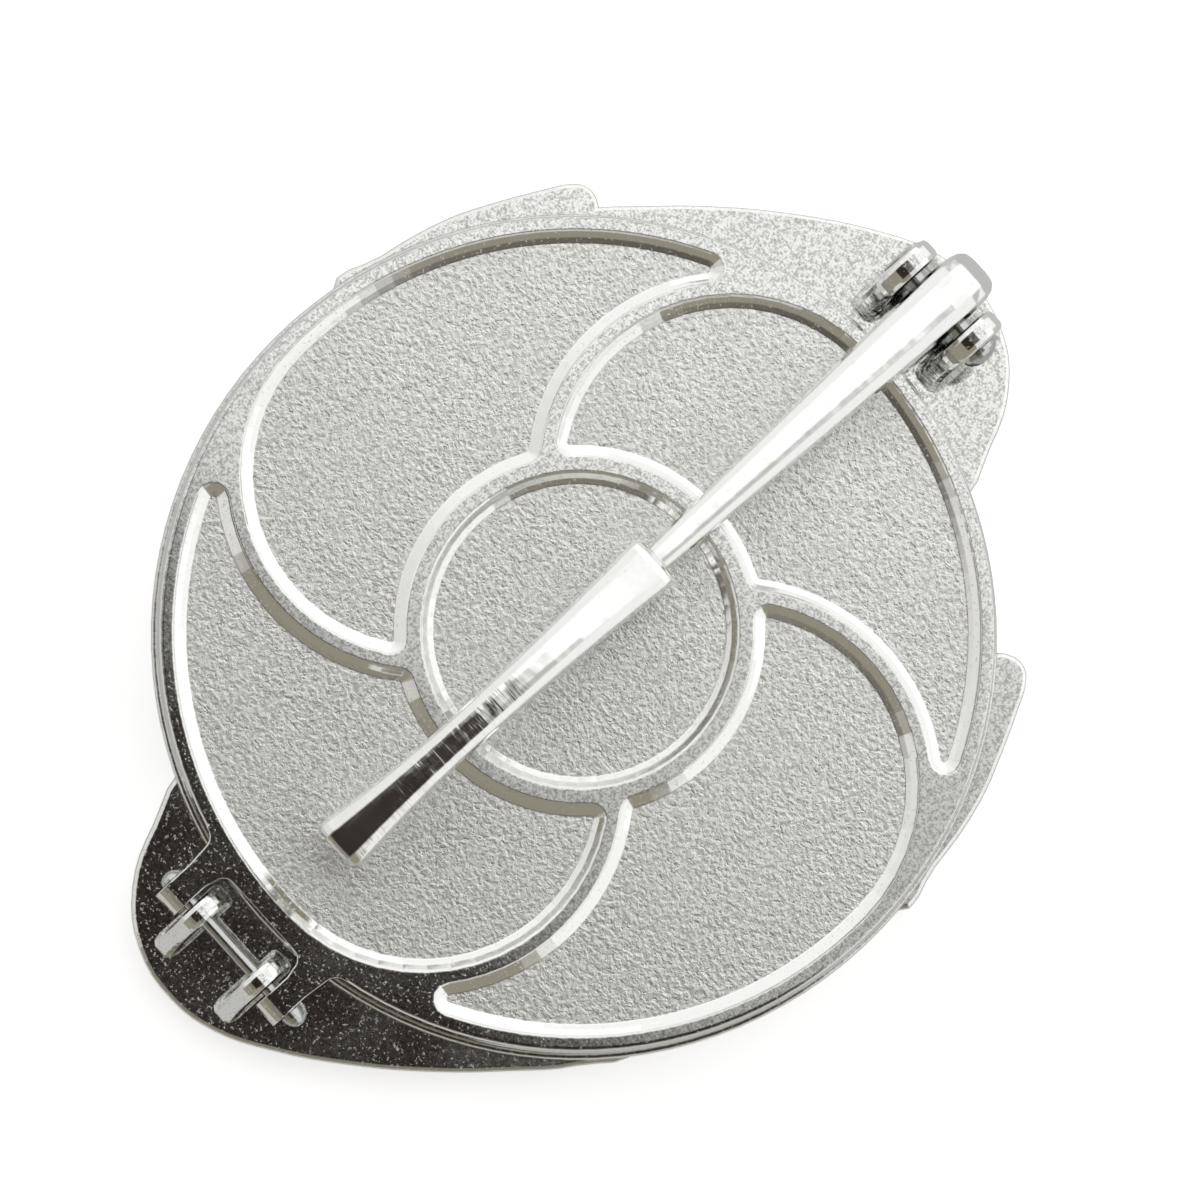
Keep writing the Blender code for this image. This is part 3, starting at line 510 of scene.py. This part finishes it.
class StageSettings(bpy.types.PropertyGroup):
    """Floor, light and camera."""

    azimuth: bpy.props.FloatProperty(
        name="Azimuth", description="Compass place of the camera",
        default=math.radians(189.283), subtype="ANGLE")
    elevation: bpy.props.FloatProperty(
        name="Elevation", description="Height of the camera above the horizon",
        default=math.radians(84.0), subtype="ANGLE")
    roll: bpy.props.FloatProperty(
        name="Roll", description="How far the camera is turned about its view",
        default=math.radians(38.523), subtype="ANGLE")
    distance: bpy.props.FloatProperty(
        name="Distance", description="From the camera to what it aims at", default=0.8, unit="LENGTH")
    aim_right: bpy.props.FloatProperty(
        name="Aim right", description="Aim, to the right of the press's middle in the picture",
        default=0.005022, unit="LENGTH")
    aim_up: bpy.props.FloatProperty(
        name="Aim up", description="Aim, above the press's middle in the picture",
        default=0.007455, unit="LENGTH")
    aim_height: bpy.props.FloatProperty(
        name="Aim height", description="Height of the aim over the floor", default=0.02, unit="LENGTH")
    focal_pixels: bpy.props.FloatProperty(
        name="Focal pixels", description="Focal length in pixels of the picture", default=3334.8)
    floor_reach: bpy.props.FloatProperty(
        name="Floor reach", description="Half width of the floor", default=3.0, unit="LENGTH")
    floor_colour: bpy.props.FloatVectorProperty(
        name="Floor colour", description="Colour of the pale floor", default=(0.8, 0.8, 0.8), subtype="COLOR")
    floor_glow: bpy.props.FloatProperty(
        name="Floor glow", description="Brightness added where the camera sees the floor", default=0.6)
    overhead_colour: bpy.props.FloatVectorProperty(
        name="Overhead colour", description="Room overhead", default=(1.0, 1.0, 0.99), subtype="COLOR")
    dim_colour: bpy.props.FloatVectorProperty(
        name="Dim colour", description="Room overhead beside the dark card",
        default=(0.47, 0.47, 0.45), subtype="COLOR")
    wall_colour: bpy.props.FloatVectorProperty(
        name="Wall colour", description="Bright walls of the room",
        default=(0.82, 0.82, 0.81), subtype="COLOR")
    tan_colour: bpy.props.FloatVectorProperty(
        name="Tan colour", description="Duller wall behind the photographer",
        default=(0.24, 0.225, 0.18), subtype="COLOR")
    dark_colour: bpy.props.FloatVectorProperty(
        name="Dark card colour", description="Dark card over the photographer",
        default=(0.030, 0.024, 0.020), subtype="COLOR")
    room_level: bpy.props.FloatProperty(
        name="Room level", description="Brightness of the room", default=1.2)
    card_edge: bpy.props.FloatProperty(
        name="Card edge", description="Where the dark card starts, as reach over height", default=-0.05)
    card_blur: bpy.props.FloatProperty(
        name="Card blur", description="How softly the dark card starts", default=0.055)
    lamp_level: bpy.props.FloatProperty(
        name="Lamp level", description="Brightness of the soft lamp's face", default=0.18)
    lamp_place: bpy.props.FloatVectorProperty(
        name="Lamp place", description="Middle of the soft lamp, in front of the press",
        default=(0.0, -1.30, 0.75), subtype="TRANSLATION", unit="LENGTH")
    lamp_width: bpy.props.FloatProperty(
        name="Lamp width", description="Width of the soft lamp's face", default=3.2, unit="LENGTH")
    lamp_depth: bpy.props.FloatProperty(
        name="Lamp depth", description="Height of the soft lamp's face", default=1.0, unit="LENGTH")


def room_light(settings):
    """A pale room with a dark card over the photographer, white where the camera sees past the floor.

    The photographer stands at the press's rear, which is the foot of the picture.
    """
    world = bpy.data.worlds.new("pale_room")
    bpy.context.scene.world = world
    world.use_nodes = True
    sheet = Sheet(world.node_tree)
    towards = sheet.node("ShaderNodeTexCoord", {}, {}).out("Generated")
    height = sheet.maths("MAXIMUM", towards.part("Z"), LEAST_HEIGHT)
    rear = towards.part("Y") / height
    left = towards.part("X") / height
    reach = (rear * rear + left * left) ** 0.5
    length = sheet.maths("MAXIMUM", reach, LEAST_REACH)
    behind = (rear * TAN_REAR - left * TAN_RIGHT) / length
    side = (rear * SIDE_REAR + left * SIDE_LEFT) / length
    tan = colour(settings.tan_colour)
    dimmed = (rear - left * DIM_RIGHT).ramp(*DIM_RANGE)
    overhead = sheet.blend(dimmed, colour(settings.overhead_colour), colour(settings.dim_colour))
    walls = sheet.blend(behind.ramp(*TAN_RANGE), colour(settings.wall_colour), tan)
    walls = sheet.blend(side.ramp(*SIDE_RANGE) * SIDE_SHARE, walls, tan)
    room = sheet.blend(reach.ramp(*WALL_RANGE), overhead, walls)
    card = rear.ramp(settings.card_edge, settings.card_edge + settings.card_blur)
    card = card * reach.fade(*CARD_REACH_RANGE) * left.fade(*CARD_LEFT_RANGE)
    room = sheet.blend(card, room, colour(settings.dark_colour))
    light = sheet.node("ShaderNodeBackground", {}, {"Color": room, "Strength": settings.room_level})
    backdrop = sheet.node("ShaderNodeBackground", {}, {"Color": WHITE, "Strength": 1.0})
    surface = sheet.choose(sheet.seen_directly(), light.out("Background"), backdrop.out("Background"))
    sheet.node("ShaderNodeOutputWorld", {}, {"Surface": surface})


def pale_floor(settings):
    """A wide pale floor that keeps the press's shadow."""
    mesh = bpy.data.meshes.new("floor")
    shape = bmesh.new()
    bmesh.ops.create_grid(shape, x_segments=1, y_segments=1, size=settings.floor_reach)
    shape.to_mesh(mesh)
    shape.free()
    floor = bpy.data.objects.new("floor", mesh)
    bpy.context.scene.collection.objects.link(floor)
    material, sheet = new_material("pale_floor")
    paint = sheet.node("ShaderNodeBsdfDiffuse", {}, {"Color": colour(settings.floor_colour)})
    glow = sheet.node("ShaderNodeEmission", {}, {"Color": WHITE, "Strength": settings.floor_glow})
    nothing = sheet.node("ShaderNodeEmission", {}, {"Color": BLACK, "Strength": 0.0})
    extra = sheet.choose(sheet.seen_directly(), nothing.out("Emission"), glow.out("Emission"))
    total = sheet.node("ShaderNodeAddShader", {}, {0: paint.out("BSDF"), 1: extra})
    sheet.node("ShaderNodeOutputMaterial", {}, {"Surface": total.out("Shader")})
    mesh.materials.append(material)


def front_lamp(settings):
    """A wide soft lamp that faces the press's foot, with a face of the given brightness."""
    width, depth = settings.lamp_width, settings.lamp_depth
    place = Vector(settings.lamp_place)
    data = bpy.data.lights.new("front_lamp", "AREA")
    data.shape = "RECTANGLE"
    data.size = width
    data.size_y = depth
    data.energy = settings.lamp_level * math.pi * width * depth
    lamp = bpy.data.objects.new("front_lamp", data)
    bpy.context.scene.collection.objects.link(lamp)
    lamp.location = place
    lamp.rotation_euler = (-place).to_track_quat("-Z", "Y").to_euler()
    lamp.visible_camera = False


def photo_camera(settings):
    """The camera at the photograph's angle."""
    azimuth, elevation = settings.azimuth, settings.elevation
    back = Vector((math.cos(elevation) * math.sin(azimuth),
                   -math.cos(elevation) * math.cos(azimuth),
                   math.sin(elevation)))
    level = Vector((math.cos(azimuth), math.sin(azimuth), 0.0))
    upright = back.cross(level)
    right = level * math.cos(settings.roll) + upright * math.sin(settings.roll)
    up = back.cross(right)
    aim = Vector((0.0, 0.0, settings.aim_height)) + right * settings.aim_right + up * settings.aim_up
    data = bpy.data.cameras.new("photo_camera")
    data.sensor_width = SENSOR_WIDTH
    data.lens = settings.focal_pixels / PHOTO_PIXELS * SENSOR_WIDTH
    data.clip_start = NEAR_CLIP
    data.clip_end = FAR_CLIP
    camera = bpy.data.objects.new("photo_camera", data)
    bpy.context.scene.collection.objects.link(camera)
    camera.location = aim + back * settings.distance
    turned = Matrix((right, up, back)).transposed()
    camera.rotation_euler = turned.to_euler()
    bpy.context.scene.camera = camera


class PRESS_OT_castings(bpy.types.Operator):
    """Give the base and the top plate their cast skin"""

    bl_idname = "press.castings"
    bl_label = "Finish castings"

    def execute(self, context):
        settings = context.scene.press_casting
        # The whole base stands above its foot, so all of it counts as raised.
        dress("base_plate", cast_skin("base_cast_skin", settings, CAD_LOW[2]))
        dress("top_plate", cast_skin("plate_cast_skin", settings, PLATE_TOP - RAISED_DEPTH))
        return {"FINISHED"}


class PRESS_OT_lever(bpy.types.Operator):
    """Give the lever its polish"""

    bl_idname = "press.lever"
    bl_label = "Finish lever"

    def execute(self, context):
        dress("lever", buffed_lever("lever_polish", context.scene.press_lever))
        return {"FINISHED"}


class PRESS_OT_pins(bpy.types.Operator):
    """Give both rivets their plated steel"""

    bl_idname = "press.pins"
    bl_label = "Finish pins"

    def execute(self, context):
        settings = context.scene.press_pins
        for name in ("hinge_pin", "pivot_pin"):
            low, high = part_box(name)
            middle = (low + high) / 2
            dress(name, turned_steel(name + "_steel", settings, middle.z, middle.y))
        return {"FINISHED"}


class PRESS_OT_stage(bpy.types.Operator):
    """Make the floor, the lamp, the room and the camera"""

    bl_idname = "press.stage"
    bl_label = "Make stage"

    def execute(self, context):
        settings = context.scene.press_stage
        room_light(settings)
        pale_floor(settings)
        front_lamp(settings)
        photo_camera(settings)
        context.scene.view_settings.view_transform = "Standard"
        return {"FINISHED"}


class PRESS_PT_panel(bpy.types.Panel):
    """Sidebar list of the finishing steps"""

    bl_idname = "PRESS_PT_panel"
    bl_label = "Dough press"
    bl_space_type = "VIEW_3D"
    bl_region_type = "UI"
    bl_category = "Dough press"

    def draw(self, context):
        for step in STEPS:
            self.layout.operator(step.bl_idname)


SETTINGS = {
    "press_casting": CastingSettings,
    "press_lever": LeverSettings,
    "press_pins": PinSettings,
    "press_stage": StageSettings,
}
STEPS = (PRESS_OT_castings, PRESS_OT_lever, PRESS_OT_pins, PRESS_OT_stage)


def register():
    """Makes the settings, the steps and the panel known to Blender."""
    for name, group in SETTINGS.items():
        bpy.utils.register_class(group)
        setattr(bpy.types.Scene, name, bpy.props.PointerProperty(type=group))
    for step in STEPS:
        bpy.utils.register_class(step)
    bpy.utils.register_class(PRESS_PT_panel)


def unregister():
    """Takes back what register made."""
    bpy.utils.unregister_class(PRESS_PT_panel)
    for step in reversed(STEPS):
        bpy.utils.unregister_class(step)
    for name, group in SETTINGS.items():
        delattr(bpy.types.Scene, name)
        bpy.utils.unregister_class(group)


def main():
    """Finishes the whole press."""
    register()
    bpy.ops.press.castings()
    bpy.ops.press.lever()
    bpy.ops.press.pins()
    bpy.ops.press.stage()


if __name__ == "__main__":
    main()
